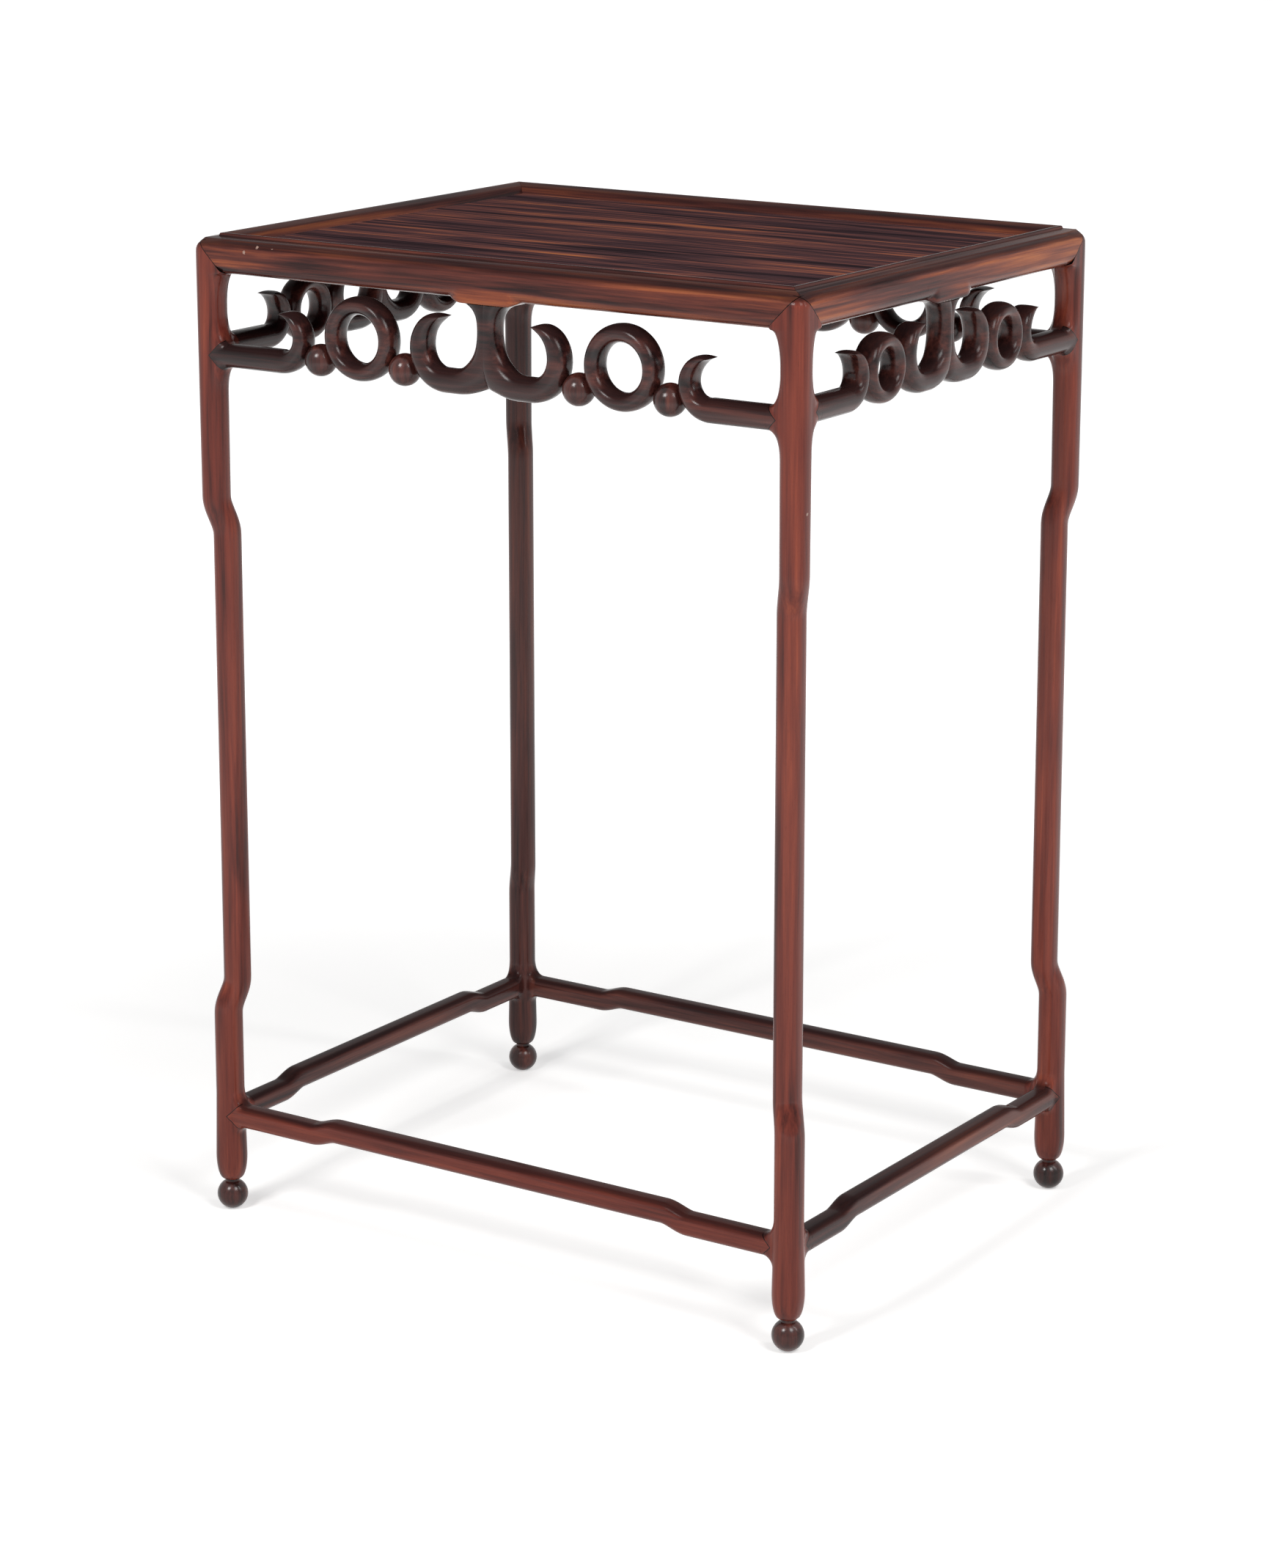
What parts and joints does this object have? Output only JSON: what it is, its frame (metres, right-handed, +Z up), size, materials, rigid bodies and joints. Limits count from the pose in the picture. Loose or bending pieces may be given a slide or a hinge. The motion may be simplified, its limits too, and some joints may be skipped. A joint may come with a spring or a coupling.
{
  "type": "side table",
  "caption": "Tall rectangular hardwood side table with a tray top, cranked legs and stretchers, ball feet and an open apron of hooks, rings and balls.",
  "frame": {"origin": "on the floor, under the middle of the top", "axes": "+Z up, +X along the long side, -Y towards the front, +X towards the right"},
  "size_m": [0.558, 0.4356, 0.8],
  "materials": {
    "leg_wood": "waxed hardwood",
    "bar_wood": "waxed hardwood",
    "rail_wood": "waxed hardwood",
    "apron_wood": "waxed hardwood",
    "turned_wood": "turned and waxed hardwood",
    "panel_wood": "waxed hardwood",
    "dowel_wood": "plain"
  },
  "bodies": {
    "root": {"leg_front_left": "leg_wood", "ball_foot_front_left": "turned_wood", "leg_front_right": "leg_wood", "ball_foot_front_right": "turned_wood", "leg_back_left": "leg_wood", "ball_foot_back_left": "turned_wood", "leg_back_right": "leg_wood", "ball_foot_back_right": "turned_wood", "front_stretcher": "bar_wood", "back_stretcher": "bar_wood", "left_stretcher": "bar_wood", "right_stretcher": "bar_wood", "front_apron_hook_left": "apron_wood", "front_apron_ball_left_inner": "turned_wood", "front_apron_ball_left_outer": "turned_wood", "front_apron_ring_left": "apron_wood", "front_apron_hook_right": "apron_wood", "front_apron_ball_right_inner": "turned_wood", "front_apron_ball_right_outer": "turned_wood", "front_apron_ring_right": "apron_wood", "front_apron_double_hook": "apron_wood", "front_apron_dowels": "dowel_wood", "back_apron_hook_left": "apron_wood", "back_apron_ball_left_inner": "turned_wood", "back_apron_ball_left_outer": "turned_wood", "back_apron_ring_left": "apron_wood", "back_apron_hook_right": "apron_wood", "back_apron_ball_right_inner": "turned_wood", "back_apron_ball_right_outer": "turned_wood", "back_apron_ring_right": "apron_wood", "back_apron_double_hook": "apron_wood", "back_apron_dowels": "dowel_wood", "left_apron_hook_front": "apron_wood", "left_apron_ring_front": "apron_wood", "left_apron_hook_back": "apron_wood", "left_apron_ring_back": "apron_wood", "left_apron_double_hook": "apron_wood", "left_apron_dowels": "dowel_wood", "right_apron_hook_front": "apron_wood", "right_apron_ring_front": "apron_wood", "right_apron_hook_back": "apron_wood", "right_apron_ring_back": "apron_wood", "right_apron_double_hook": "apron_wood", "right_apron_dowels": "dowel_wood", "front_rail": "rail_wood", "back_rail": "rail_wood", "left_rail": "rail_wood", "right_rail": "rail_wood", "top_panel": "panel_wood", "panel_batten_left": "bar_wood", "panel_batten_right": "bar_wood"}
  },
  "joints": []
}
